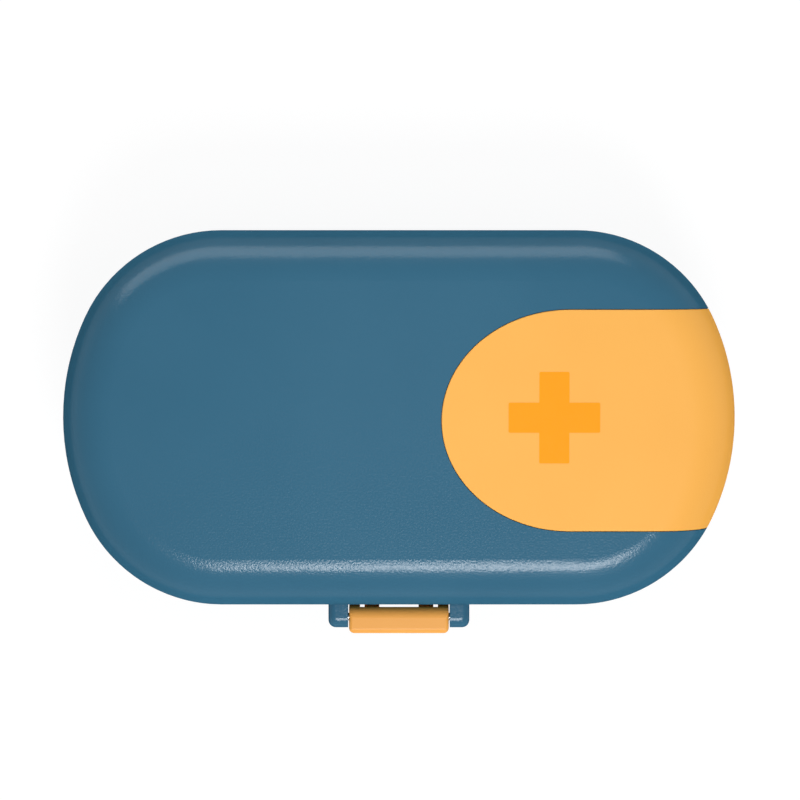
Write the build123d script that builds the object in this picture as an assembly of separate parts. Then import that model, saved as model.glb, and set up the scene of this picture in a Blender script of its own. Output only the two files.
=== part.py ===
from build123d import *
import math
import os

# Travel pill box: a rounded case with a hinged lid, a front clasp and a lift-out tray of compartments.
# All sizes are millimetres. X runs along the case, -Y is the clasp side, Z is up, and the origin is the
# middle of the flat underside.

# Case outline, seen from above
CASE_LENGTH = 120.0
CASE_WIDTH = 67.0
END_RADIUS = 42.6
CORNER_RADIUS = 26.8

# Case heights, walls and edges
BASE_HEIGHT = 20.0
LID_HEIGHT = 11.85
PARTING_GAP = 0.15
WALL = 2.0
BASE_EDGE_RADIUS = 8.0
LID_EDGE_RADIUS = 9.0
RIM_ROUND = 0.4
OVERRUN = 1.0

# Hinge along the rear side
HINGE_INSET = 2.0
HINGE_DROP = 1.6
RELIEF_CLEARANCE = 0.35
LUG_START = 13.0
LUG_LENGTH = 10.0
LUG_RADIUS = 1.9
LUG_CLEARANCE = 0.3
LUG_NECK_REACH = 0.5
LUG_RIB_HEIGHT = 3.2
HINGE_PIN_RADIUS = 1.0
PIN_RUNNING_CLEARANCE = 0.05
HINGE_CHEEK_INNER = 3.0
HINGE_CHEEK_OUTER = 4.2
PIN_END_COVER = 1.3
HINGE_BLOCK_WALL = 1.3
HINGE_BLOCK_DEPTH = 5.0

# Lift-out tray and its plates
TRAY_INSET = 6.0
TRAY_WALL = 1.2
TRAY_FLOOR = 1.0
TRAY_FOOT_RADIUS = 2.0
TRAY_INNER_RADIUS = 1.0
TONGUE_RISE = 0.6
TONGUE_BEVEL = 0.3
TRAY_FLANGE_THICKNESS = 1.5
TRAY_FLANGE_DROP = 0.1
TRAY_CLEARANCE = 0.3
PLATE_THICKNESS = 1.2
PLATE_TOP_GAP = 0.4
PLATE_CLEARANCE = 0.1
GROOVE_DEPTH = 0.5
SPINE_THICKNESS = 1.6
SPINE_GROOVE_DEPTH = 0.4
PLATE_CORNER_RADIUS = 1.6
FINGER_DIP_WIDTH = 11.0
FINGER_DIP_DEPTH = 2.4
FINGER_DIP_ROUND = 1.5
PLATE_BEVEL = 0.25
PLATE_X_SHARES = (-0.585, -0.2, 0.2, 0.585)

# Lid liner and its seal
LINER_THICKNESS = 1.2
LINER_RIM_WALL = 1.2
LINER_CLEARANCE = 0.1
SEAL_WIDTH = 1.4
SEAL_HEIGHT = 1.8
SEAL_PROUD = 0.2
SEAL_CHANNEL_WALL = 0.8
SEAL_CHANNEL_ROOF = 1.0

# Coloured cover set into the lid
COVER_WIDTH = 39.0
COVER_START = 7.5
COVER_NOSE_LENGTH = 22.5
COVER_THICKNESS = 1.0
COVER_SEAM = 0.1
COVER_BOND = 0.05
COVER_EDGE = 1.2
COVER_EDGE_ROUND = 0.15
COVER_PEG_RADIUS = 1.2
COVER_PEG_LENGTH = 2.0
COVER_BOSS_WALL = 1.2
COVER_PEG_X_SHARES = (0.3, 0.85)
COVER_PEG_Y_SHARE = 0.5

# Front clasp, its ears on the lid and its catches on the base
EAR_RADIUS = 1.9
EAR_REACH = 4.27
EAR_WIDTH = 3.5
EAR_CORNER_RADIUS = 1.3
EAR_RISE = 0.2
CLASP_WIDTH = 17.9
CLASP_SIDE_CLEARANCE = 0.2
CLASP_REACH = 5.22
CLASP_BARREL_RADIUS = 1.75
CLASP_HEIGHT = 14.0
CLASP_PLATE = 1.5
CLASP_TOP_ROUND = 0.95
CLASP_SIDE_ROUND = 0.6
CLASP_LIP_ROUND = 0.7
CLASP_WAIST = 0.55
CLASP_CORNER_RADIUS = 1.1
CLASP_FLANGE_THICKNESS = 1.8
CLASP_FLANGE_GAP = 0.3
CLASP_FLANGE_DROP = 10.2
LATCH_PIN_RADIUS = 0.7
LATCH_PIN_RECESS = 0.3
CATCH_START = 3.6
CATCH_LENGTH = 2.7
CATCH_REACH = 1.2
CATCH_HEIGHT = 2.0
CATCH_LIP = 0.6
CATCH_DROP = 9.2
HOOK_CLEARANCE = 0.15
HOOK_GAP = 0.2
HOOK_HEIGHT = 1.6

# Levels and centres worked out from the sizes above
HALF_WIDTH = CASE_WIDTH / 2
END_CENTRE = CASE_LENGTH / 2 - END_RADIUS
CORNER_CENTRE_Y = HALF_WIDTH - CORNER_RADIUS
CORNER_CENTRE_X = END_CENTRE + math.sqrt((END_RADIUS - CORNER_RADIUS) ** 2 - CORNER_CENTRE_Y ** 2)
MEET_ANGLE = math.degrees(math.atan2(CORNER_CENTRE_Y, CORNER_CENTRE_X - END_CENTRE))
LID_RIM = BASE_HEIGHT + PARTING_GAP
LID_TOP = LID_RIM + LID_HEIGHT
HINGE_Y = HALF_WIDTH - HINGE_INSET
HINGE_Z = BASE_HEIGHT - HINGE_DROP
RELIEF_RADIUS = math.hypot(HINGE_INSET, HINGE_DROP) + RELIEF_CLEARANCE
NOTCH_RADIUS = LUG_RADIUS + LUG_CLEARANCE
LUG_END = LUG_START + LUG_LENGTH
BLOCK_START = LUG_START - HINGE_CHEEK_INNER
BLOCK_END = LUG_END + HINGE_CHEEK_OUTER
BLOCK_FACE = HINGE_Y - NOTCH_RADIUS - HINGE_BLOCK_WALL
TRAY_BOTTOM = WALL
TRAY_FLOOR_TOP = TRAY_BOTTOM + TRAY_FLOOR
TONGUE_TOP = BASE_HEIGHT + TONGUE_RISE
PLATE_TOP = TONGUE_TOP - PLATE_TOP_GAP
FLANGE_TOP = BASE_HEIGHT - TRAY_FLANGE_DROP
TRAY_INNER_INSET = TRAY_INSET + TRAY_WALL
LINER_UNDERSIDE = TONGUE_TOP + SEAL_PROUD
LINER_TOP = LINER_UNDERSIDE + LINER_THICKNESS
LINER_REAR = HINGE_Y - RELIEF_RADIUS - LUG_CLEARANCE
SEAL_TOP = TONGUE_TOP + SEAL_HEIGHT
SEAL_INSET = TRAY_INSET + TRAY_WALL / 2 - SEAL_WIDTH / 2
CHANNEL_TOP = SEAL_TOP + SEAL_CHANNEL_ROOF
COVER_FLAT_END = CASE_LENGTH / 2 - LID_EDGE_RADIUS
PIVOT_Y = -(HALF_WIDTH + EAR_REACH - EAR_RADIUS)
PIVOT_Z = LID_RIM + EAR_RISE + EAR_RADIUS
EAR_START = CLASP_WIDTH / 2 + CLASP_SIDE_CLEARANCE
CLASP_FRONT = -(HALF_WIDTH + CLASP_REACH)
CLASP_TOP = PIVOT_Z + CLASP_BARREL_RADIUS
CLASP_BOTTOM = CLASP_TOP - CLASP_HEIGHT
CATCH_UNDERSIDE = PIVOT_Z - CATCH_DROP


def case_outline(inset):
    """The case outline as a face, moved inwards by inset."""
    straight = HALF_WIDTH - inset
    corner_arc = 90 - MEET_ANGLE
    corners = ((1, 1, MEET_ANGLE), (-1, 1, 90), (-1, -1, 180 + MEET_ANGLE), (1, -1, 270))
    edges = []
    for side_x, side_y, start in corners:
        centre = (side_x * CORNER_CENTRE_X, side_y * CORNER_CENTRE_Y)
        edges.append(CenterArc(centre, CORNER_RADIUS - inset, start, corner_arc))
    for side_x, start in ((1, -MEET_ANGLE), (-1, 180 - MEET_ANGLE)):
        edges.append(CenterArc((side_x * END_CENTRE, 0), END_RADIUS - inset, start, 2 * MEET_ANGLE))
    for side_y in (1, -1):
        edges.append(Line((-CORNER_CENTRE_X, side_y * straight), (CORNER_CENTRE_X, side_y * straight)))
    return make_face(edges)


def slab(inset, bottom, top):
    """A plate with the case outline, moved inwards by inset, between two heights."""
    return Pos(0, 0, bottom) * extrude(case_outline(inset), top - bottom)


def lid_form(inset, bottom):
    """The lid's outer form, moved inwards by inset on every side."""
    block = slab(inset, bottom, LID_TOP - inset)
    return fillet(block.edges().group_by(Axis.Z)[-1], LID_EDGE_RADIUS - inset)


def base_form(inset, top):
    """The base's outer form, moved inwards by inset on every side."""
    block = slab(inset, inset, top)
    return fillet(block.edges().group_by(Axis.Z)[0], BASE_EDGE_RADIUS - inset)


def span(x_range, y_range, z_range):
    """A box between two values on each axis."""
    size = [high - low for low, high in (x_range, y_range, z_range)]
    middle = [(high + low) / 2 for low, high in (x_range, y_range, z_range)]
    return Pos(*middle) * Box(*size)


def rod(radius, x_range, y, z):
    """A round bar along X."""
    start, end = x_range
    return Pos((start + end) / 2, y, z) * Rot(0, 90, 0) * Cylinder(radius, end - start)


def side_profile(face, x_range):
    """A side view, drawn in Y and Z, stretched along X."""
    start, end = x_range
    return Pos(start, 0, 0) * extrude(Plane.YZ * face, end - start)


def ordered(side, start, end):
    """A range of X on one side of the middle, lower end first."""
    return tuple(sorted((side * start, side * end)))


def hinge_block(side):
    """Thick part of the rear wall that carries one hinge pin, with a sloping underside."""
    inside_wall = HALF_WIDTH - WALL / 2
    low = HINGE_Z - HINGE_BLOCK_DEPTH
    corners = [
        (inside_wall, BASE_HEIGHT),
        (BLOCK_FACE, BASE_HEIGHT),
        (BLOCK_FACE, low),
        (inside_wall, low - (inside_wall - BLOCK_FACE)),
    ]
    return side_profile(make_face(Polyline(*corners, close=True)), ordered(side, BLOCK_START, BLOCK_END))


def hinge_notch(side):
    """Room in the base for one lid lug, open to the top and to the rear."""
    x_range = ordered(side, LUG_START - LUG_CLEARANCE, LUG_END + LUG_CLEARANCE)
    beyond = HALF_WIDTH + OVERRUN
    above = BASE_HEIGHT + OVERRUN
    well = span(x_range, (HINGE_Y - NOTCH_RADIUS, beyond), (HINGE_Z, above))
    mouth = span(x_range, (HINGE_Y, beyond), (HINGE_Z - NOTCH_RADIUS, above))
    return well + mouth + rod(NOTCH_RADIUS, x_range, HINGE_Y, HINGE_Z)


def hinge_pin(side):
    """Steel pin of one hinge, pushed in from the gap between the two blocks."""
    return rod(HINGE_PIN_RADIUS, ordered(side, BLOCK_START, BLOCK_END - PIN_END_COVER), HINGE_Y, HINGE_Z)


def pin_bore(side):
    """Bore for one hinge pin, blind at its outer end."""
    x_range = ordered(side, BLOCK_START - OVERRUN, BLOCK_END - PIN_END_COVER)
    return rod(HINGE_PIN_RADIUS, x_range, HINGE_Y, HINGE_Z)


def catch(side):
    """Lug on the front wall of the base that one hook of the clasp holds."""
    wall = -HALF_WIDTH
    tip = wall - CATCH_REACH
    corners = [
        (wall + WALL / 2, CATCH_UNDERSIDE),
        (tip, CATCH_UNDERSIDE),
        (tip, CATCH_UNDERSIDE + CATCH_LIP),
        (wall, CATCH_UNDERSIDE + CATCH_HEIGHT),
        (wall + WALL / 2, CATCH_UNDERSIDE + CATCH_HEIGHT),
    ]
    x_range = ordered(side, CATCH_START, CATCH_START + CATCH_LENGTH)
    return side_profile(make_face(Polyline(*corners, close=True)), x_range)


def make_base_shell():
    """Lower shell with its hinge blocks and catches."""
    outside = base_form(0, BASE_HEIGHT)
    outside = fillet(outside.edges().group_by(Axis.Z)[-1], RIM_ROUND)
    shell = outside - base_form(WALL, BASE_HEIGHT + OVERRUN)
    for side in (1, -1):
        shell += hinge_block(side)
        shell -= hinge_notch(side)
        shell -= pin_bore(side)
        shell += catch(side)
    return shell


def tray_half_width():
    """From the middle of the tray to the inside of its long wall."""
    return HALF_WIDTH - TRAY_INNER_INSET


def plate_places():
    """Places of the cross plates along the tray."""
    return [share * (CASE_LENGTH / 2 - TRAY_INNER_INSET) for share in PLATE_X_SHARES]


def make_inner_tray():
    """Open tray with a raised rim for the seal and a flange that hides the gap to the base."""
    body = slab(TRAY_INSET, TRAY_BOTTOM, TONGUE_TOP)
    body = fillet(body.edges().group_by(Axis.Z)[0], TRAY_FOOT_RADIUS)
    flange = slab(WALL + TRAY_CLEARANCE, FLANGE_TOP - TRAY_FLANGE_THICKNESS, FLANGE_TOP)
    hinge_room = span(
        (-BLOCK_END - TRAY_CLEARANCE, BLOCK_END + TRAY_CLEARANCE),
        (BLOCK_FACE - TRAY_CLEARANCE, HALF_WIDTH),
        (TRAY_BOTTOM, TONGUE_TOP),
    )
    hollow = slab(TRAY_INNER_INSET, TRAY_FLOOR_TOP, TONGUE_TOP + OVERRUN)
    hollow = fillet(hollow.edges().group_by(Axis.Z)[0], TRAY_INNER_RADIUS)
    tray = body + (flange - hinge_room) - hollow
    tray = chamfer(tray.edges().group_by(Axis.Z)[-1], TONGUE_BEVEL)
    groove_half = PLATE_THICKNESS / 2 + PLATE_CLEARANCE
    reach = tray_half_width() + GROOVE_DEPTH
    for x in plate_places():
        x_range = (x - groove_half, x + groove_half)
        tray -= span(x_range, (-reach, reach), (TRAY_FLOOR_TOP, TONGUE_TOP + OVERRUN))
    spine_groove = SPINE_THICKNESS / 2 + PLATE_CLEARANCE
    end = CASE_LENGTH / 2 - TRAY_INNER_INSET + GROOVE_DEPTH
    tray -= span((-end, end), (-spine_groove, spine_groove), (TRAY_FLOOR_TOP, TONGUE_TOP + OVERRUN))
    return tray


def make_spine():
    """Long plate down the middle of the tray, with a groove for each cross plate."""
    end = CASE_LENGTH / 2 - TRAY_INNER_INSET + GROOVE_DEPTH - PLATE_CLEARANCE
    half = SPINE_THICKNESS / 2
    spine = span((-end, end), (-half, half), (TRAY_FLOOR_TOP, PLATE_TOP))
    groove_half = PLATE_THICKNESS / 2 + PLATE_CLEARANCE
    for x in plate_places():
        for side in (1, -1):
            depth = ordered(side, half - SPINE_GROOVE_DEPTH, half + OVERRUN)
            spine -= span((x - groove_half, x + groove_half), depth, (TRAY_FLOOR_TOP, PLATE_TOP + OVERRUN))
    return spine


def plate_side(side):
    """Side view of a cross plate: rounded at the foot, with a finger dip in its top edge."""
    inner = SPINE_THICKNESS / 2 - SPINE_GROOVE_DEPTH + PLATE_CLEARANCE
    outer = tray_half_width() + GROOVE_DEPTH - PLATE_CLEARANCE
    middle = side * (inner + outer) / 2
    dip_radius = (FINGER_DIP_WIDTH ** 2 / 4 + FINGER_DIP_DEPTH ** 2) / (2 * FINGER_DIP_DEPTH)
    sheet = Pos(middle, (TRAY_FLOOR_TOP + PLATE_TOP) / 2) * Rectangle(outer - inner, PLATE_TOP - TRAY_FLOOR_TOP)
    sheet = fillet(sheet.vertices().group_by(Axis.Y)[0], PLATE_CORNER_RADIUS)
    sheet -= Pos(middle, PLATE_TOP - FINGER_DIP_DEPTH + dip_radius) * Circle(dip_radius)
    shoulders = sheet.vertices().group_by(Axis.Y)[-1].sort_by(lambda corner: abs(corner.X - middle))[:2]
    return fillet(shoulders, FINGER_DIP_ROUND)


def make_plate(x, side):
    """One cross plate, with its edges bevelled where fingers lift it."""
    half = PLATE_THICKNESS / 2
    plate = side_profile(plate_side(side), (x - half, x + half))
    below_dip = PLATE_TOP - FINGER_DIP_DEPTH - PLATE_BEVEL
    outlines = [edge for face in plate.faces().filter_by(Axis.X) for edge in face.edges()]
    return chamfer([edge for edge in outlines if edge.bounding_box().min.Z > below_dip], PLATE_BEVEL)


def cover_outline(growth):
    """Plan of the coloured cover: a rounded nose that runs on past the end of the lid."""
    half = COVER_WIDTH / 2 + growth
    nose = COVER_NOSE_LENGTH + growth
    nose_centre = COVER_START + COVER_NOSE_LENGTH
    end = CASE_LENGTH / 2 + OVERRUN
    curve = EllipticalCenterArc((nose_centre, 0), nose, half, start_angle=90, arc_size=180)
    sides = [
        Line((nose_centre, -half), (end, -half)),
        Line((end, -half), (end, half)),
        Line((end, half), (nose_centre, half)),
    ]
    return make_face([curve] + sides)


def cover_layer(growth, depth, bottom):
    """The outer layer of the lid inside the cover's plan, down to a given depth and height."""
    column = Pos(0, 0, bottom) * extrude(cover_outline(growth), LID_TOP - bottom + OVERRUN)
    return (lid_form(0, LID_RIM) & column) - lid_form(depth, LID_RIM - OVERRUN)


def peg_places():
    """Places of the pegs that hold the cover."""
    flat = COVER_FLAT_END - COVER_START
    y = COVER_PEG_Y_SHARE * COVER_WIDTH / 2
    return [(COVER_START + share * flat, side * y) for share in COVER_PEG_X_SHARES for side in (1, -1)]


def upright(radius, place, bottom, top):
    """A round bar along Z."""
    x, y = place
    return Pos(x, y, (bottom + top) / 2) * Cylinder(radius, top - bottom)


def make_lid_cover():
    """Coloured cover, flush with the lid, with pegs underneath."""
    cover = cover_layer(0, COVER_THICKNESS, LID_RIM + COVER_EDGE + COVER_SEAM)
    top = cover.faces().sort_by(Axis.Z)[-1]
    outline = [edge for edge in top.edges() if edge.center().X < COVER_FLAT_END - OVERRUN]
    cover = fillet(outline, COVER_EDGE_ROUND)
    seat = LID_TOP - COVER_THICKNESS
    for place in peg_places():
        cover += upright(COVER_PEG_RADIUS, place, seat - COVER_PEG_LENGTH, seat)
    return cover


def ear(side):
    """One ear on the front of the lid that holds the clasp's pin."""
    root = -HALF_WIDTH + WALL / 2
    x_range = ordered(side, EAR_START, EAR_START + EAR_WIDTH)
    neck = span(x_range, (PIVOT_Y, root), (PIVOT_Z - EAR_RADIUS, PIVOT_Z + EAR_RADIUS))
    solid = neck + rod(EAR_RADIUS, x_range, PIVOT_Y, PIVOT_Z)
    outer = solid.faces().sort_by(Axis.X)[-1 if side > 0 else 0]
    front_edges = [edge for edge in outer.edges() if edge.center().Y < root - RIM_ROUND]
    return fillet(front_edges, EAR_CORNER_RADIUS)


def lid_lug(side):
    """Hinge lug that hangs from the lid's rear wall round one hinge pin."""
    x_range = ordered(side, LUG_START, LUG_END)
    top = HINGE_Z + RELIEF_RADIUS + LUG_RIB_HEIGHT
    rib = span(x_range, (HINGE_Y - LUG_RADIUS, HINGE_Y + LUG_NECK_REACH), (HINGE_Z, top))
    return rib + rod(LUG_RADIUS, x_range, HINGE_Y, HINGE_Z)


def rear_relief():
    """Space that the lid's rear edge leaves free so that it can swing past the base."""
    reach = CASE_LENGTH / 2
    slot = span((-reach, reach), (HINGE_Y, HALF_WIDTH + OVERRUN), (HINGE_Z, HINGE_Z + RELIEF_RADIUS))
    return slot + rod(RELIEF_RADIUS, (-reach, reach), HINGE_Y, HINGE_Z)


def make_lid_shell():
    """Upper shell with a recess for the cover, hinge lugs at the rear and ears at the front."""
    outside = lid_form(0, LID_RIM)
    outside = fillet(outside.edges().group_by(Axis.Z)[0], RIM_ROUND)
    shell = outside - lid_form(WALL, LID_RIM - OVERRUN)
    shell -= slab(LINER_RIM_WALL, LID_RIM - OVERRUN, LINER_TOP)
    recess_floor = LID_TOP - COVER_THICKNESS - COVER_BOND
    ceiling = LID_TOP - WALL
    boss_bottom = LID_TOP - COVER_THICKNESS - COVER_PEG_LENGTH - COVER_BOND - COVER_BOSS_WALL
    for place in peg_places():
        shell += upright(COVER_PEG_RADIUS + COVER_BOSS_WALL, place, boss_bottom, ceiling)
    shell -= cover_layer(COVER_SEAM, COVER_THICKNESS + COVER_BOND, LID_RIM + COVER_EDGE)
    for place in peg_places():
        hole_bottom = recess_floor - COVER_PEG_LENGTH
        shell -= upright(COVER_PEG_RADIUS + COVER_BOND, place, hole_bottom, recess_floor + OVERRUN)
    shell -= rear_relief()
    for side in (1, -1):
        x_range = ordered(side, LUG_START - OVERRUN, LUG_END + OVERRUN)
        shell += lid_lug(side)
        shell -= rod(HINGE_PIN_RADIUS + PIN_RUNNING_CLEARANCE, x_range, HINGE_Y, HINGE_Z)
        shell += ear(side)
    ear_end = EAR_START + EAR_WIDTH
    shell -= rod(LATCH_PIN_RADIUS, (-ear_end - OVERRUN, ear_end + OVERRUN), PIVOT_Y, PIVOT_Z)
    return shell


def make_lid_liner():
    """Flat inner plate of the lid that carries the seal in a channel."""
    plate = slab(LINER_RIM_WALL + LINER_CLEARANCE, LINER_UNDERSIDE, LINER_TOP)
    channel = slab(SEAL_INSET - SEAL_CHANNEL_WALL, LINER_UNDERSIDE, CHANNEL_TOP)
    channel -= slab(SEAL_INSET + SEAL_WIDTH + SEAL_CHANNEL_WALL, LINER_TOP, CHANNEL_TOP + OVERRUN)
    groove = slab(SEAL_INSET, LINER_UNDERSIDE - OVERRUN, SEAL_TOP)
    groove -= slab(SEAL_INSET + SEAL_WIDTH, LINER_UNDERSIDE - OVERRUN, SEAL_TOP)
    reach = CASE_LENGTH / 2
    rear = span((-reach, reach), (LINER_REAR, HALF_WIDTH), (LINER_UNDERSIDE, CHANNEL_TOP))
    return plate + channel - groove - rear


def make_sealing_ring():
    """Soft ring that the tray's rim presses into when the lid is shut."""
    ring = slab(SEAL_INSET, TONGUE_TOP, SEAL_TOP)
    return ring - slab(SEAL_INSET + SEAL_WIDTH, TONGUE_TOP - OVERRUN, SEAL_TOP + OVERRUN)


def clasp_side():
    """Side view of the clasp with its barrel, waisted front, pull lip and side flanges."""
    waist_z = (CLASP_TOP + CLASP_BOTTOM) / 2
    flange_y = -HALF_WIDTH - CLASP_FLANGE_GAP
    plate_back = CLASP_FRONT + CLASP_PLATE
    flange_low = PIVOT_Z - CLASP_FLANGE_DROP
    upper_front = (CLASP_FRONT, CLASP_TOP - CLASP_TOP_ROUND)
    lower_front = (CLASP_FRONT, CLASP_BOTTOM + CLASP_LIP_ROUND)
    top_edge = (CLASP_FRONT + CLASP_TOP_ROUND, CLASP_TOP)
    lip_edge = (CLASP_FRONT + CLASP_LIP_ROUND, CLASP_BOTTOM)
    barrel_back = (PIVOT_Y + CLASP_BARREL_RADIUS, PIVOT_Z)
    outline = [
        Line((PIVOT_Y, CLASP_TOP), top_edge),
        RadiusArc(top_edge, upper_front, -CLASP_TOP_ROUND),
        ThreePointArc(upper_front, (CLASP_FRONT + CLASP_WAIST, waist_z), lower_front),
        RadiusArc(lower_front, lip_edge, -CLASP_LIP_ROUND),
        Polyline(
            lip_edge,
            (plate_back, CLASP_BOTTOM),
            (flange_y, flange_low),
            (flange_y, PIVOT_Z - CLASP_BARREL_RADIUS),
            barrel_back,
        ),
        RadiusArc(barrel_back, (PIVOT_Y, CLASP_TOP), -CLASP_BARREL_RADIUS),
    ]
    return make_face([edge for piece in outline for edge in piece.edges()])


def clasp_pocket():
    """Side view of the hollow behind the clasp's front plate."""
    back = CLASP_FRONT + CLASP_PLATE
    waist_z = (CLASP_TOP + CLASP_BOTTOM) / 2
    low = CLASP_BOTTOM - OVERRUN
    far = -HALF_WIDTH + OVERRUN
    barrel_low = (PIVOT_Y, PIVOT_Z - CLASP_BARREL_RADIUS)
    barrel_back = (PIVOT_Y + CLASP_BARREL_RADIUS, PIVOT_Z)
    roof = (back, PIVOT_Z - CLASP_BARREL_RADIUS)
    outline = [
        ThreePointArc(roof, (back + CLASP_WAIST, waist_z), (back, low)),
        Polyline((back, low), (far, low), (far, PIVOT_Z), barrel_back),
        RadiusArc(barrel_back, barrel_low, CLASP_BARREL_RADIUS),
        Line(barrel_low, roof),
    ]
    return make_face([edge for piece in outline for edge in piece.edges()])


def clasp_hook(side):
    """One hook behind the clasp's plate, with its nose under a catch."""
    plate_back = CLASP_FRONT + CLASP_PLATE + CLASP_WAIST
    root = CLASP_FRONT + CLASP_PLATE / 2
    nose_tip = -HALF_WIDTH - CATCH_REACH - HOOK_CLEARANCE
    nose_top = CATCH_UNDERSIDE - HOOK_GAP
    corners = [
        (root, nose_top + CATCH_HEIGHT),
        (plate_back, nose_top + CATCH_HEIGHT),
        (nose_tip - CATCH_LIP, nose_top),
        (nose_tip, nose_top),
        (nose_tip, nose_top - CATCH_LIP),
        (plate_back, nose_top - HOOK_HEIGHT),
        (root, nose_top - HOOK_HEIGHT),
    ]
    x_range = ordered(side, CATCH_START, CATCH_START + CATCH_LENGTH)
    return side_profile(make_face(Polyline(*corners, close=True)), x_range)


def make_latch_clasp():
    """Front clasp that turns on its pin between the ears."""
    half = CLASP_WIDTH / 2
    inside = half - CLASP_FLANGE_THICKNESS
    clasp = side_profile(clasp_side(), (-half, half))
    plan_middle = (CLASP_FRONT - HALF_WIDTH) / 2
    plan = Pos(0, plan_middle) * Rectangle(CLASP_WIDTH, -HALF_WIDTH - CLASP_FRONT)
    plan = fillet(plan.vertices().group_by(Axis.Y)[0], CLASP_CORNER_RADIUS)
    clasp = clasp & (Pos(0, 0, CLASP_BOTTOM) * extrude(plan, CLASP_HEIGHT))
    front = Pos(0, CLASP_BOTTOM + CLASP_HEIGHT / 2) * Rectangle(CLASP_WIDTH, CLASP_HEIGHT)
    front = fillet(front.vertices(), CLASP_SIDE_ROUND)
    clasp = clasp & extrude(Plane.XZ * front, -CLASP_FRONT)
    clasp -= side_profile(clasp_pocket(), (-inside, inside))
    for side in (1, -1):
        clasp += clasp_hook(side)
    bore = rod(LATCH_PIN_RADIUS + PIN_RUNNING_CLEARANCE, (-half - OVERRUN, half + OVERRUN), PIVOT_Y, PIVOT_Z)
    return clasp - bore


def make_latch_pin():
    """Steel pin through the ears and the clasp."""
    end = EAR_START + EAR_WIDTH - LATCH_PIN_RECESS
    return rod(LATCH_PIN_RADIUS, (-end, end), PIVOT_Y, PIVOT_Z)


pieces = {
    "base_shell": make_base_shell(),
    "inner_tray": make_inner_tray(),
    "divider_long": make_spine(),
    "hinge_pin_right": hinge_pin(1),
    "hinge_pin_left": hinge_pin(-1),
    "lid_shell": make_lid_shell(),
    "lid_cover": make_lid_cover(),
    "lid_liner": make_lid_liner(),
    "sealing_ring": make_sealing_ring(),
    "latch_clasp": make_latch_clasp(),
    "latch_pin": make_latch_pin(),
}
for number, place in enumerate(plate_places(), start=1):
    pieces[f"divider_front_{number}"] = make_plate(place, -1)
    pieces[f"divider_rear_{number}"] = make_plate(place, 1)

os.makedirs("parts", exist_ok=True)
for name, piece in pieces.items():
    export_step(piece, f"parts/{name}.step")
    print(name, len(piece.solids()), round(piece.volume, 1))
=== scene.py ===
# %% [markdown]
# # A travel pill box: finish, light and camera
#
# The box is moulded plastic: a blue base and lid, a flush orange cover over one end of the lid with a plain plus
# sign printed on it, and an orange clasp at the front. A white tray with frosted plates lies inside. Every solid
# already has its real size and place, so this lesson never moves them. It gives each one the surface that its real
# material has, adds the print and the soft seal as meshes, and sets up a plain studio.

# %% Load the solids
import math

import bmesh
import bpy
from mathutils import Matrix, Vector


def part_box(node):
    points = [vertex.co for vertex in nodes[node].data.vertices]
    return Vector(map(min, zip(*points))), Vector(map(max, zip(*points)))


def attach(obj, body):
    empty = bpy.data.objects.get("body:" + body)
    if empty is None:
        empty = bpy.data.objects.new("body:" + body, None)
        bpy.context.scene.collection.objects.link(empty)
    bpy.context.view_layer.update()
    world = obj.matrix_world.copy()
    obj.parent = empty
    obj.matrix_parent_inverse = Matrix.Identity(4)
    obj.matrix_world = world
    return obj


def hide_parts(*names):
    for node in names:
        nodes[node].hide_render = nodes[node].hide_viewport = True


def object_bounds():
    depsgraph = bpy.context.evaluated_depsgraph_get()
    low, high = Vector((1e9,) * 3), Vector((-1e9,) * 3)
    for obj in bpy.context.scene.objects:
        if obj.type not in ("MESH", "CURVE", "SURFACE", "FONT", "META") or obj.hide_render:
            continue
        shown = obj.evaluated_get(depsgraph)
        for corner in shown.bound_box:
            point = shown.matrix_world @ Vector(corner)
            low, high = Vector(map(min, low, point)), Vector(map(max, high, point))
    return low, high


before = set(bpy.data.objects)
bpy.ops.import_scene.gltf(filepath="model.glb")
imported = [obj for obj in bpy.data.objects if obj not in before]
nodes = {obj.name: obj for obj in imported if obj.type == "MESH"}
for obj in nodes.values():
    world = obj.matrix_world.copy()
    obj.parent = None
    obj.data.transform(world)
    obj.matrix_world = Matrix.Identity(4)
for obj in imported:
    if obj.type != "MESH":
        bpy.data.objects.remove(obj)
cad_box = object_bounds()
MM = 0.001
print("solids:", len(nodes), "size in mm:", [round(side / MM, 2) for side in cad_box[1] - cad_box[0]])

# %% [markdown]
# ## Colours
#
# Colours are picked as sRGB hex values, the way any colour picker shows them. Shaders mix light, which needs
# linear values. One function does the change, so no colour is converted by hand.

# %% From hex to linear light


def to_linear(hex_colour):
    """An sRGB hex colour as linear red, green, blue and a full alpha, by the sRGB formula."""
    linear = []
    for start in (0, 2, 4):
        value = int(hex_colour[start:start + 2], 16) / 255
        linear.append(value / 12.92 if value <= 0.04045 else ((value + 0.055) / 1.055) ** 2.4)
    return (*linear, 1.0)


print("middle grey in linear light:", [round(value, 3) for value in to_linear("808080")])

# %% [markdown]
# ## Nodes
#
# A material is a small graph of nodes. Making one by code always takes the same steps: add the node, set its
# values, join its inputs to other nodes. One helper does all three, whatever the kind of node. An input is named, or
# numbered where a node has several of the same name.

# %% Add one node


def add_node(tree, kind, settings=None, links=None):
    """Adds a node. Settings give its inputs or properties, links give an input its source node and that output."""
    node = tree.nodes.new(kind)
    for name, value in (settings or {}).items():
        if isinstance(name, int) or name in node.inputs:
            node.inputs[name].default_value = value
        else:
            setattr(node, name, value)
    for name, (source, output) in (links or {}).items():
        tree.links.new(source.outputs[output], node.inputs[name])
    return node


def new_material(name):
    """An empty material with its node tree."""
    material = bpy.data.materials.new(name)
    material.use_nodes = True
    material.node_tree.nodes.clear()
    return material, material.node_tree


print("the helpers for materials are ready")

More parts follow.
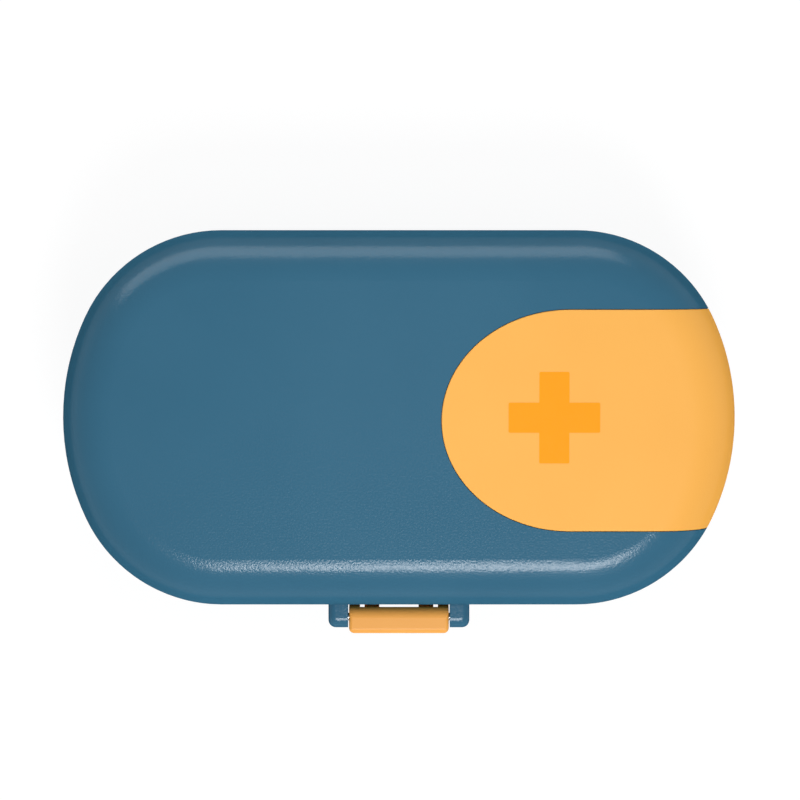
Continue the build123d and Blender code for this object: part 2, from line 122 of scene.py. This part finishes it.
# %% [markdown]
# ## Moulded plastic in general
#
# A moulded part copies the steel of its mould. A mould for a case like this is spark eroded, which leaves a fine,
# even grain: the part looks matt from afar, and its highlights break up into tiny glints. Melted plastic also sets
# a little unevenly as it flows, so the colour drifts by a percent or two over a centimetre or two.
#
# The grain could be an image, but an image needs unwrapped surfaces and blurs close up. Noise in the object's own
# coordinates has neither fault, and its scale is simply one over a real size. The grain of the real part is about
# 0.05 mm, finer than a pixel of this view, so it is drawn coarser, as wide as it needs to be to show.

# %% The recipe that the plastics share
NOISE_LOW = 0.3
NOISE_HIGH = 0.7


def moulded_plastic(name, light, dark, drift_mm, roughness, grain_mm, grain_depth_mm, ior):
    """A plastic with a drifting colour, an uneven gloss and a moulded grain. Returns the material and its shader."""
    material, tree = new_material(name)
    place = add_node(tree, "ShaderNodeTexCoord")
    drift = add_node(tree, "ShaderNodeTexNoise", {"Scale": 1 / (drift_mm * MM)}, {"Vector": (place, "Object")})
    grain = add_node(tree, "ShaderNodeTexNoise", {"Scale": 1 / (grain_mm * MM), "Detail": 0.0},
                     {"Vector": (place, "Object")})
    colour = add_node(tree, "ShaderNodeValToRGB", links={"Fac": (drift, "Fac")})
    for stop, position, shade in zip(colour.color_ramp.elements, (NOISE_LOW, NOISE_HIGH), (dark, light)):
        stop.position = position
        stop.color = to_linear(shade)
    gloss = add_node(tree, "ShaderNodeMapRange", {"From Min": NOISE_LOW, "From Max": NOISE_HIGH,
                                                  "To Min": roughness[0], "To Max": roughness[1]},
                     {"Value": (grain, "Fac")})
    bump = add_node(tree, "ShaderNodeBump", {"Distance": grain_depth_mm * MM}, {"Height": (grain, "Fac")})
    shader = add_node(tree, "ShaderNodeBsdfPrincipled", {"IOR": ior},
                      {"Base Color": (colour, "Color"), "Roughness": (gloss, "Result"), "Normal": (bump, "Normal")})
    add_node(tree, "ShaderNodeOutputMaterial", links={"Surface": (shader, "BSDF")})
    print(name, "grain", grain_mm, "mm, roughness", roughness)
    return material, shader


print("the recipe for moulded plastic is ready")

# %% [markdown]
# ## Gloss of a grained face
#
# ABS and dried ink have an IOR of about 1.5. A smooth face of either mirrors more and more as the eye comes down to
# it. A grained one doesn't: its bumps scatter part of the gleam, and at flat angles they hide one another, so the
# edges of the case stay dark even against white. Layer Weight tells how flat the angle is, from 0 head-on to 1
# edge-on. The shader's specular level follows it, from less than its usual 0.5 down to nothing.

# %% Plastic with a grain that takes the gleam
GRAINED_IOR = 1.5
HEAD_ON_LEVEL = 0.21
FADE_START = 0.25
FADE_END = 0.5


def grained_plastic(name, **surface):
    """Moulded plastic, described as in the recipe, whose gloss is weak head-on and fades towards flat angles."""
    material, shader = moulded_plastic(name, ior=GRAINED_IOR, **surface)
    tree = material.node_tree
    angle = add_node(tree, "ShaderNodeLayerWeight")
    level = add_node(tree, "ShaderNodeMapRange", {"From Min": FADE_START, "From Max": FADE_END,
                                                  "To Min": HEAD_ON_LEVEL, "To Max": 0.0},
                     {"Value": (angle, "Facing")})
    tree.links.new(level.outputs["Result"], shader.inputs["Specular IOR Level"])
    return material


print("specular level head-on:", HEAD_ON_LEVEL)

# %% [markdown]
# ## Blue case: ABS with a spark-eroded grain
#
# ABS is the usual plastic of stiff cases. Its colour goes right through, so nothing is painted. The grain makes the
# long highlight along the front edge a soft, speckled band, and leaves the flat top nearly even.

# %% Blue ABS
blue_abs = grained_plastic("abs_blue_spark_eroded", light="376A85", dark="356883", drift_mm=18.0,
                           roughness=(0.14, 0.25), grain_mm=0.33, grain_depth_mm=0.02)

# %% [markdown]
# ## Orange cover: ABS with a finer, duller grain
#
# The cover comes out of a second mould with a duller texture. It shows hardly any highlight where it bends down over
# the end, so its roughness is higher and its glints are weaker.

# %% Orange ABS
orange_abs = grained_plastic("abs_orange_matt", light="FFBA58", dark="FDB755", drift_mm=22.0,
                             roughness=(0.5, 0.56), grain_mm=0.3, grain_depth_mm=0.01)

# %% [markdown]
# ## Clasp: ABS from a smoother mould
#
# Fingers work the clasp, so its mould is a little smoother. That gives a thin, soft highlight along its front edge.

# %% Clasp ABS
clasp_abs = grained_plastic("abs_orange_satin", light="FFB458", dark="FDB155", drift_mm=12.0,
                            roughness=(0.34, 0.4), grain_mm=0.3, grain_depth_mm=0.008)

# %% [markdown]
# ## Tray and liner: natural polypropylene
#
# What touches pills is often undyed polypropylene. It is milky: light enters a little way, spreads and comes back,
# which softens every edge. A little subsurface scattering gives that.

# %% Milky polypropylene
POLYPROPYLENE_IOR = 1.49
MILKY_SHARE = 0.25
MILKY_DEPTH = 0.8 * MM
MILKY_COLOUR_SHARES = (1.0, 0.9, 0.8)

tray_pp, tray_shader = moulded_plastic("polypropylene_milky", light="E6E5E0", dark="E2E1DC", drift_mm=15.0,
                                       roughness=(0.38, 0.46), grain_mm=0.4, grain_depth_mm=0.006,
                                       ior=POLYPROPYLENE_IOR)
tray_shader.inputs["Subsurface Weight"].default_value = MILKY_SHARE
tray_shader.inputs["Subsurface Radius"].default_value = MILKY_COLOUR_SHARES
tray_shader.inputs["Subsurface Scale"].default_value = MILKY_DEPTH

# %% [markdown]
# ## Dividers: frosted polypropylene
#
# The loose plates are thin and clear enough to show what lies behind as a blur. A rough transmission does that
# without any sorting trouble, which plain transparency would have.

# %% Frosted polypropylene
CLEAR_SHARE = 0.3

divider_pp, divider_shader = moulded_plastic("polypropylene_frosted", light="E9F0F2", dark="E4ECEF", drift_mm=10.0,
                                             roughness=(0.44, 0.52), grain_mm=0.3, grain_depth_mm=0.008,
                                             ior=POLYPROPYLENE_IOR)
divider_shader.inputs["Transmission Weight"].default_value = CLEAR_SHARE

# %% [markdown]
# ## Seal: moulded silicone
#
# Silicone rubber is soft and a little sticky, so it takes dust and looks dull. Its highlights are wide and weak.

# %% Silicone
SILICONE_IOR = 1.41
SILICONE_MILKY_SHARE = 0.3
SILICONE_DEPTH = 0.6 * MM

silicone, silicone_shader = moulded_plastic("silicone_translucent_grey", light="CFD3D1", dark="C6CBC9", drift_mm=6.0,
                                            roughness=(0.55, 0.66), grain_mm=0.25, grain_depth_mm=0.006,
                                            ior=SILICONE_IOR)
silicone_shader.inputs["Subsurface Weight"].default_value = SILICONE_MILKY_SHARE
silicone_shader.inputs["Subsurface Scale"].default_value = SILICONE_DEPTH

# %% [markdown]
# ## Print: pad-printed ink
#
# The plus sign is a thin film of ink, pressed on with a soft pad. It fills the grain below it and dries dull, with a
# faint orange-peel.

# %% Ink
ink = grained_plastic("pad_print_ink_amber", light="FFA304", dark="FEA102", drift_mm=9.0,
                      roughness=(0.52, 0.58), grain_mm=0.6, grain_depth_mm=0.003)

# %% [markdown]
# ## Pins: drawn steel
#
# Wire is pulled through a die, which leaves fine lines along it. Noise that is stretched along the pin's own axis,
# X, gives those lines in gloss and bump. A metal has no colour below its surface: its base colour is its reflection.

# %% Drawn steel
DRAW_LINE_MM = 0.12
DRAW_LINE_LENGTH_MM = 6.0
DRAW_LINE_DEPTH_MM = 0.004
DRAWN_ROUGHNESS = (0.22, 0.4)
STEEL_COLOUR = "C9C8C4"


def drawn_steel():
    """Steel wire with lines along X."""
    material, tree = new_material("steel_drawn_wire")
    place = add_node(tree, "ShaderNodeTexCoord")
    stretch = add_node(tree, "ShaderNodeMapping", {"Scale": (DRAW_LINE_MM / DRAW_LINE_LENGTH_MM, 1.0, 1.0)},
                       {"Vector": (place, "Object")})
    lines = add_node(tree, "ShaderNodeTexNoise", {"Scale": 1 / (DRAW_LINE_MM * MM)}, {"Vector": (stretch, "Vector")})
    gloss = add_node(tree, "ShaderNodeMapRange", {"To Min": DRAWN_ROUGHNESS[0], "To Max": DRAWN_ROUGHNESS[1]},
                     {"Value": (lines, "Fac")})
    bump = add_node(tree, "ShaderNodeBump", {"Distance": DRAW_LINE_DEPTH_MM * MM}, {"Height": (lines, "Fac")})
    shader = add_node(tree, "ShaderNodeBsdfPrincipled", {"Base Color": to_linear(STEEL_COLOUR), "Metallic": 1.0},
                      {"Roughness": (gloss, "Result"), "Normal": (bump, "Normal")})
    add_node(tree, "ShaderNodeOutputMaterial", links={"Surface": (shader, "BSDF")})
    print("steel_drawn_wire lines", DRAW_LINE_MM, "mm wide")
    return material


steel = drawn_steel()

# %% [markdown]
# ## Finish of the solids
#
# Each solid came in with one empty slot, named for its material in the record. Putting the finished material into
# that slot is all it takes, and the slot's name keeps the link between the two.

# %% Put the materials on
finishes = {
    "base_shell": blue_abs,
    "lid_shell": blue_abs,
    "lid_cover": orange_abs,
    "latch_clasp": clasp_abs,
    "inner_tray": tray_pp,
    "lid_liner": tray_pp,
    "sealing_ring": silicone,
    "hinge_pin_left": steel,
    "hinge_pin_right": steel,
    "latch_pin": steel,
}
for name, node in nodes.items():
    node.material_slots[0].material = finishes.get(name, divider_pp)
print("finished solids:", len(nodes), "of which plates:", len(nodes) - len(finishes))

# %% [markdown]
# ## Pieces made here
#
# Some pieces are better as meshes than as solids. Each is drawn in a bmesh, which is Blender's editable mesh, and
# then becomes an object that rides on one of the moving bodies.

# %% Turn a drawn mesh into a piece


def mesh_piece(name, drawn, material, body):
    """A new object from a bmesh, with one material, that rides on a body."""
    mesh = bpy.data.meshes.new(name)
    bmesh.ops.recalc_face_normals(drawn, faces=drawn.faces)
    drawn.to_mesh(mesh)
    drawn.free()
    mesh.materials.append(material)
    piece = bpy.data.objects.new(name, mesh)
    bpy.context.scene.collection.objects.link(piece)
    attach(piece, body)
    print(name, "has", len(mesh.vertices), "points and rides on", body)
    return piece


# %% [markdown]
# ## Plus sign
#
# The sign is flat ink on the flat part of the cover. It could be painted into the cover's material, but as a film
# with a real thickness it has a true edge from every side and stays sharp close up. Its outline is a cross with
# slightly rounded outer corners, since ink draws back from a sharp corner.

# %% Print the plus sign
SIGN_CENTRE = Vector((27.3, 0.54)) * MM
SIGN_SPAN = 16.1 * MM
SIGN_BAR = 5.3 * MM
SIGN_CORNER = 0.25 * MM
CORNER_STEPS = 6
FILM_THICKNESS = 0.02 * MM
FILM_SUNK = 0.01 * MM


def rounded_tip(tip, along, across):
    """Points round the two outer corners of one arm, from its right side to its left."""
    points = []
    for side, start in ((1, 0.0), (-1, math.pi / 2)):
        centre = tip - along * SIGN_CORNER + across * side * (SIGN_BAR / 2 - SIGN_CORNER)
        for step in range(CORNER_STEPS + 1):
            angle = start + step / CORNER_STEPS * math.pi / 2
            points.append(centre + SIGN_CORNER * (across * math.cos(angle) + along * math.sin(angle)))
    return points


def plus_outline():
    """The cross, anticlockwise from the arm that points to +X."""
    points = []
    for quarter in range(4):
        angle = quarter * math.pi / 2
        along = Vector((math.cos(angle), math.sin(angle)))
        across = Vector((along.y, -along.x))
        points += rounded_tip(SIGN_CENTRE + along * SIGN_SPAN / 2, along, across)
        points.append(SIGN_CENTRE + (along - across) * SIGN_BAR / 2)
    return points


lid_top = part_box("lid_cover")[1].z
sign = bmesh.new()
face = sign.faces.new([sign.verts.new((point.x, point.y, lid_top - FILM_SUNK)) for point in plus_outline()])
raised = bmesh.ops.extrude_face_region(sign, geom=[face])
raised_points = [item for item in raised["geom"] if isinstance(item, bmesh.types.BMVert)]
bmesh.ops.translate(sign, verts=raised_points, vec=(0, 0, FILM_SUNK + FILM_THICKNESS))
mesh_piece("plus_sign", sign, ink, "lid")

# %% [markdown]
# ## Silicone seal
#
# The seal is a soft ring that sits in a channel of the liner. Its solid is a plain square ring. The real one has a
# rounded lip, where the rim of the tray presses in. It is built as a loop of cross-sections: one profile, set up at
# each point of the case's outline and joined to the next. First comes the outline, which is two kinds of arc that
# meet smoothly.

# %% Follow the case's outline
END_RADIUS = 42.6 * MM
CORNER_RADIUS = 26.8 * MM
ARC_STEPS = 24


def outline_frames(half_length, half_width, inset):
    """Points on the outline, moved inwards by inset, each with its outward direction."""
    end_centre = half_length - END_RADIUS
    corner_y = half_width - CORNER_RADIUS
    corner_x = end_centre + math.sqrt((END_RADIUS - CORNER_RADIUS) ** 2 - corner_y ** 2)
    meet = math.atan2(corner_y, corner_x - end_centre)
    arcs = [
        ((end_centre, 0), END_RADIUS, -meet, meet),
        ((corner_x, corner_y), CORNER_RADIUS, meet, math.pi / 2),
        ((-corner_x, corner_y), CORNER_RADIUS, math.pi / 2, math.pi - meet),
        ((-end_centre, 0), END_RADIUS, math.pi - meet, math.pi + meet),
        ((-corner_x, -corner_y), CORNER_RADIUS, math.pi + meet, 3 * math.pi / 2),
        ((corner_x, -corner_y), CORNER_RADIUS, 3 * math.pi / 2, 2 * math.pi - meet),
    ]
    frames = []
    for centre, radius, start, end in arcs:
        for step in range(ARC_STEPS + 1):
            angle = start + (end - start) * step / ARC_STEPS
            outward = Vector((math.cos(angle), math.sin(angle)))
            frames.append((Vector(centre) + outward * (radius - inset), outward))
    return frames


print("points round the case:", len(outline_frames(cad_box[1].x, cad_box[1].y, 0)))

# %% [markdown]
# ## Profile of the seal
#
# Two arcs end on the same point, so the loop is welded where sections coincide. The lip is shaded smooth.

# %% Loop the seal round the outline
SEAL_WIDTH = 1.4 * MM
LIP_STEPS = 8
WELD_DISTANCE = 0.001 * MM

ring_low, ring_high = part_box("sealing_ring")
lip_radius = SEAL_WIDTH / 2
profile = [(0, ring_high.z)]
for step in range(LIP_STEPS + 1):
    angle = step / LIP_STEPS * math.pi
    profile.append((lip_radius * (1 - math.cos(angle)), ring_low.z + lip_radius * (1 - math.sin(angle))))
profile.append((SEAL_WIDTH, ring_high.z))

seal = bmesh.new()
loops = []
for point, outward in outline_frames(cad_box[1].x, cad_box[1].y, cad_box[1].x - ring_high.x):
    loops.append([seal.verts.new((*(point - outward * depth), height)) for depth, height in profile])
for loop, following in zip(loops, loops[1:] + loops[:1]):
    for index in range(len(profile)):
        ahead = (index + 1) % len(profile)
        face = seal.faces.new((loop[index], following[index], following[ahead], loop[ahead]))
        face.smooth = 0 < index < len(profile) - 2
bmesh.ops.remove_doubles(seal, verts=seal.verts, dist=WELD_DISTANCE)
silicone_seal = mesh_piece("silicone_seal", seal, silicone, "lid")
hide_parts("sealing_ring")

# %% [markdown]
# ## Floor
#
# A product photo on white still has a floor, and the soft shadow on it tells the eye where the object stands. For
# the camera, and in reflections, the floor's brightness adds up to 1, which is white. Most of that is emission, and
# the rest is a matt surface that takes the shadow. To light that bounces, the floor is just pale and matt.

# %% Lay the floor
FLOOR_SIZE = 8.0
BOARD_COLOUR = "F4F4F2"
SHADOW_DEPTH = 0.1
FLOOR_LIGHT = 0.7


def white_board():
    """Pale matt board that looks white and keeps the shadow."""
    material, tree = new_material("painted_board_white")
    rays = add_node(tree, "ShaderNodeLightPath")
    seen = add_node(tree, "ShaderNodeMath", {"operation": "MAXIMUM"},
                    {0: (rays, "Is Camera Ray"), 1: (rays, "Is Glossy Ray")})
    shown = add_node(tree, "ShaderNodeMath", {"operation": "MAXIMUM"},
                     {0: (seen, "Value"), 1: (rays, "Is Transmission Ray")})
    paint = add_node(tree, "ShaderNodeBsdfDiffuse", {"Color": to_linear(BOARD_COLOUR)})
    shade = SHADOW_DEPTH / FLOOR_LIGHT
    shadow = add_node(tree, "ShaderNodeBsdfDiffuse", {"Color": (shade, shade, shade, 1.0)})
    white = add_node(tree, "ShaderNodeEmission", {"Strength": 1 - SHADOW_DEPTH})
    lit = add_node(tree, "ShaderNodeAddShader", links={0: (white, "Emission"), 1: (shadow, "BSDF")})
    board = add_node(tree, "ShaderNodeMixShader",
                     links={0: (shown, "Value"), 1: (paint, "BSDF"), 2: (lit, "Shader")})
    add_node(tree, "ShaderNodeOutputMaterial", links={"Surface": (board, "Shader")})
    return material


drawn_floor = bmesh.new()
bmesh.ops.create_grid(drawn_floor, x_segments=1, y_segments=1, size=FLOOR_SIZE / 2)
floor_mesh = bpy.data.meshes.new("floor")
drawn_floor.to_mesh(floor_mesh)
drawn_floor.free()
floor_mesh.materials.append(white_board())
floor = bpy.data.objects.new("floor", floor_mesh)
floor.location.z = cad_box[0].z
bpy.context.scene.collection.objects.link(floor)
print("floor at height", floor.location.z)

# %% [markdown]
# ## Lamps
#
# The photo shows a top that is a little brighter in the middle, a long highlight on the front edge and a weaker one
# on the rear edge. Three lamps give the light: one above the front, one behind, and a small one close above the
# middle. Two more are strips that only show as gleams: they are mirrored in the round edges but light nothing, so
# the colours stay as they are written. The three lamps in turn stay out of reflections.
#
# A lamp's power follows from how bright it makes a white surface that faces it. A strip's power follows from how many
# times brighter than white it looks itself.

# %% Set up the lamps
LAMP_DISTANCE = 0.8
TOP_LAMP_DISTANCE = 0.11
lid_centre = Vector((0, 0, lid_top))


def lean(angle, sideways=0.0):
    """Direction that leans from straight up to the rear, or to the front if the angle is negative, and sideways."""
    return Vector((sideways, math.sin(math.radians(angle)), math.cos(math.radians(angle)))).normalized()


def hang_lamp(name, direction, distance, size, energy, gleams):
    """A soft lamp above the lid that either lights surfaces or gleams in them."""
    lamp = bpy.data.lights.new(name, "AREA")
    lamp.shape = "RECTANGLE"
    lamp.size, lamp.size_y = size
    lamp.energy = energy
    holder = bpy.data.objects.new(name, lamp)
    holder.location = lid_centre + direction * distance
    holder.rotation_euler = direction.to_track_quat("Z", "Y").to_euler()
    holder.visible_camera = False
    holder.visible_diffuse = not gleams
    holder.visible_glossy = gleams
    bpy.context.scene.collection.objects.link(holder)
    print(name, "of", round(energy, 3), "W at", distance, "m")


def light(name, direction, distance, size, level):
    """A lamp that lights a white surface facing it to a level, where 1 is white."""
    hang_lamp(name, direction, distance, size, level * math.pi ** 2 * distance ** 2, gleams=False)


def strip(name, direction, size, brightness):
    """A lamp that is only mirrored, so many times brighter than white."""
    hang_lamp(name, direction, LAMP_DISTANCE, size, brightness * math.pi * size[0] * size[1], gleams=True)


light("front_lamp", lean(-40, sideways=0.15), LAMP_DISTANCE, size=(0.3, 0.3), level=0.56)
light("rear_lamp", lean(60), LAMP_DISTANCE, size=(0.4, 0.3), level=0.26)
light("top_lamp", lean(2), TOP_LAMP_DISTANCE, size=(0.05, 0.05), level=0.16)
strip("front_strip", lean(-25, sideways=0.075), size=(0.3, 0.22), brightness=20.5)
strip("rear_strip", lean(70, sideways=-0.25), size=(1.2, 0.4), brightness=3.7)

# %% [markdown]
# ## World
#
# The world fills the shadows from all sides. It is white at the horizon, where it meets the floor, and darker
# overhead, so that the flat lid doesn't mirror a pale sky.

# %% Fade the world from the horizon up
SKY_OVERHEAD = 0.42
SKY_FADE = 6.0

world = bpy.data.worlds.new("studio")
world.use_nodes = True
sky_tree = world.node_tree
sky_tree.nodes.clear()
way = add_node(sky_tree, "ShaderNodeTexCoord")
height = add_node(sky_tree, "ShaderNodeSeparateXYZ", links={"Vector": (way, "Generated")})
low = add_node(sky_tree, "ShaderNodeMapRange", {"To Min": 1.0, "To Max": 0.0}, {"Value": (height, "Z")})
fade = add_node(sky_tree, "ShaderNodeMath", {"operation": "POWER", 1: SKY_FADE}, {0: (low, "Result")})
level = add_node(sky_tree, "ShaderNodeMapRange", {"To Min": SKY_OVERHEAD, "To Max": 1.0}, {"Value": (fade, "Value")})
sky = add_node(sky_tree, "ShaderNodeBackground", links={"Strength": (level, "Result")})
add_node(sky_tree, "ShaderNodeOutputWorld", links={"Surface": (sky, "Background")})
bpy.context.scene.world = world
print("world from", SKY_OVERHEAD, "overhead to 1.0 at the horizon")

# %% [markdown]
# ## Camera
#
# The photo looks almost straight down. The lid's top face lies a little lower in the picture than its rim, so the
# camera leans about three degrees to the rear. The distance follows from how much larger the top looks than the
# rim, and the lens from how many pixels one millimetre takes.

# %% Place the camera
IMAGE_WIDTH = 800
CAMERA_DISTANCE = 0.49
CAMERA_LEAN = 3.0
RIM_PIXELS_PER_MM = 5.593
OUTLINE_CENTRE_PIXELS = (398.9, 417.8)
RIM_HEIGHT = 23.0 * MM

pixel = MM / RIM_PIXELS_PER_MM
aim = Vector((
    (IMAGE_WIDTH / 2 - OUTLINE_CENTRE_PIXELS[0]) * pixel,
    (OUTLINE_CENTRE_PIXELS[1] - IMAGE_WIDTH / 2) * pixel,
    RIM_HEIGHT,
))
camera_data = bpy.data.cameras.new("camera")
camera_data.lens = camera_data.sensor_width * CAMERA_DISTANCE / pixel / IMAGE_WIDTH
camera = bpy.data.objects.new("camera", camera_data)
camera.location = aim + lean(CAMERA_LEAN) * CAMERA_DISTANCE
camera.rotation_euler = (math.radians(-CAMERA_LEAN), 0, 0)
bpy.context.scene.collection.objects.link(camera)
bpy.context.scene.camera = camera
bpy.context.scene.view_settings.view_transform = "Standard"
print("lens in mm:", round(camera_data.lens, 1))
